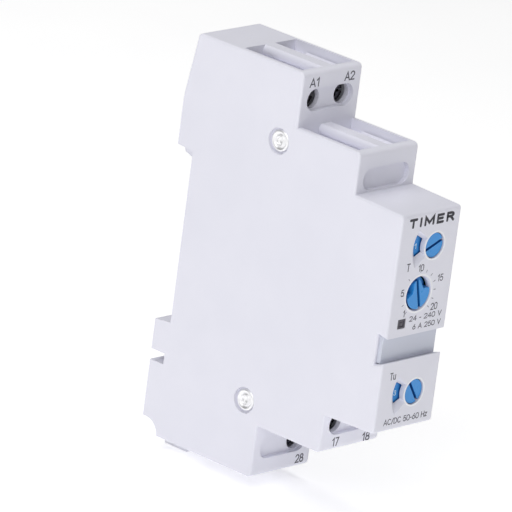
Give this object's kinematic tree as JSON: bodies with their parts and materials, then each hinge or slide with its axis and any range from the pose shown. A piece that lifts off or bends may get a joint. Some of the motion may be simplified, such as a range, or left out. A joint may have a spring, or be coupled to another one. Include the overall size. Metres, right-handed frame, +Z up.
{
  "type": "din rail timer",
  "caption": "Modular rail-mounted electronic timer with stepped grey housing, blue pointer knob, two slotted selectors, screw cage terminals and sprung rail clip.",
  "frame": {"origin": "centre line of the 35 mm rail, on the face that seats against the rail", "axes": "+Z up, dials face -Y, rail behind at +Y, +X to the right seen from the front"},
  "size_m": [0.0176, 0.0615, 0.0886],
  "materials": {
    "housing_plastic": "fine satin moulded polycarbonate",
    "cover_plastic": "fine satin moulded polycarbonate",
    "rivet_metal": "bright nickel",
    "clip_plastic": "satin",
    "spring_steel": "bright",
    "tag_plastic": "satin",
    "lamp_lens": "smoked gloss",
    "led_epoxy": "gloss",
    "dial_plastic": "semi gloss",
    "switch_plastic": "matt",
    "board_laminate": "solder resist",
    "relay_case": "matt",
    "film_capacitor_case": "matt",
    "varistor_coating": "dipped",
    "chip_plastic": "matt",
    "capacitor_can": "drawn can",
    "ferrite": "sintered",
    "resistor_coating": "lacquered",
    "screw_steel": "zinc plated",
    "cage_steel": "zinc plated",
    "busbar_metal": "tinned brass"
  },
  "bodies": {
    "housing": {"bridge_rectifier": "chip_plastic", "busbar_17": "busbar_metal", "busbar_18": "busbar_metal", "busbar_28": "busbar_metal", "busbar_a1": "busbar_metal", "busbar_a2": "busbar_metal", "clip_spring": "spring_steel", "fuse_resistor": "resistor_coating", "housing_body": "housing_plastic", "indicator_led": "led_epoxy", "led_window": "lamp_lens", "main_board": "board_laminate", "marker_tag": "tag_plastic", "microcontroller": "chip_plastic", "range_switch": "switch_plastic", "relay_1": "relay_case", "relay_2": "relay_case", "rivet_lower": "rivet_metal", "rivet_upper": "rivet_metal", "side_cover": "cover_plastic", "smoothing_capacitor": "capacitor_can", "supply_capacitor": "film_capacitor_case", "supply_inductor": "ferrite", "surge_varistor": "varistor_coating", "time_potentiometer": "switch_plastic", "transfer_switch": "switch_plastic"},
    "rail_clip": {"rail_clip": "clip_plastic"},
    "time_range_selector": {"time_range_selector": "dial_plastic"},
    "time_knob": {"time_knob": "dial_plastic"},
    "transfer_time_selector": {"transfer_time_selector": "dial_plastic"},
    "screw_a1": {"screw_a1": "screw_steel"},
    "cage_a1": {"cage_a1": "cage_steel"},
    "screw_a2": {"screw_a2": "screw_steel"},
    "cage_a2": {"cage_a2": "cage_steel"},
    "screw_17": {"screw_17": "screw_steel"},
    "cage_17": {"cage_17": "cage_steel"},
    "screw_18": {"screw_18": "screw_steel"},
    "cage_18": {"cage_18": "cage_steel"},
    "screw_28": {"screw_28": "screw_steel"},
    "cage_28": {"cage_28": "cage_steel"}
  },
  "joints": [
    {"name": "clip_slide", "type": "slide", "parent": "housing", "child": "rail_clip", "axis": [0, 0, 1], "range_m": [-0.003, 0], "stiffness_N_per_m": 400, "springref_m": 0.002, "deforming": ["clip_spring"]},
    {"name": "time_range_turn", "type": "hinge", "parent": "housing", "child": "time_range_selector", "pos_m": [0.00205, -0.056, 0.0149], "axis": [0, -1, 0], "range_deg": [-150, 150]},
    {"name": "time_knob_turn", "type": "hinge", "parent": "housing", "child": "time_knob", "pos_m": [-0.00087, -0.056, 0.00525], "axis": [0, -1, 0], "range_deg": [-148, 124]},
    {"name": "transfer_time_turn", "type": "hinge", "parent": "housing", "child": "transfer_time_selector", "pos_m": [0.00205, -0.056, -0.01595], "axis": [0, -1, 0], "range_deg": [-150, 150]},
    {"name": "screw_a1_turn", "type": "hinge", "parent": "housing", "child": "screw_a1", "pos_m": [-0.00435, -0.0217, 0.0369], "axis": [0, 1, 0], "range_deg": [0, 1801]},
    {"name": "cage_a1_slide", "type": "slide", "parent": "housing", "child": "cage_a1", "axis": [0, -1, 0], "range_m": [0, 0.0025]},
    {"name": "screw_a2_turn", "type": "hinge", "parent": "housing", "child": "screw_a2", "pos_m": [0.00435, -0.0217, 0.0369], "axis": [0, 1, 0], "range_deg": [0, 1801]},
    {"name": "cage_a2_slide", "type": "slide", "parent": "housing", "child": "cage_a2", "axis": [0, -1, 0], "range_m": [0, 0.0025]},
    {"name": "screw_17_turn", "type": "hinge", "parent": "housing", "child": "screw_17", "pos_m": [-0.00435, -0.039, -0.0261], "axis": [0, 1, 0], "range_deg": [0, 1801]},
    {"name": "cage_17_slide", "type": "slide", "parent": "housing", "child": "cage_17", "axis": [0, -1, 0], "range_m": [0, 0.0025]},
    {"name": "screw_18_turn", "type": "hinge", "parent": "housing", "child": "screw_18", "pos_m": [0.00435, -0.039, -0.0261], "axis": [0, 1, 0], "range_deg": [0, 1801]},
    {"name": "cage_18_slide", "type": "slide", "parent": "housing", "child": "cage_18", "axis": [0, -1, 0], "range_m": [0, 0.0025]},
    {"name": "screw_28_turn", "type": "hinge", "parent": "housing", "child": "screw_28", "pos_m": [0.00435, -0.0217, -0.037], "axis": [0, 1, 0], "range_deg": [0, 1801]},
    {"name": "cage_28_slide", "type": "slide", "parent": "housing", "child": "cage_28", "axis": [0, -1, 0], "range_m": [0, 0.0025]}
  ],
  "couplings": [
    {"joint": "screw_a1_turn", "follows": "cage_a1_slide", "rad_per_m": 12566},
    {"joint": "screw_a2_turn", "follows": "cage_a2_slide", "rad_per_m": 12566},
    {"joint": "screw_17_turn", "follows": "cage_17_slide", "rad_per_m": 12566},
    {"joint": "screw_18_turn", "follows": "cage_18_slide", "rad_per_m": 12566},
    {"joint": "screw_28_turn", "follows": "cage_28_slide", "rad_per_m": 12566}
  ]
}
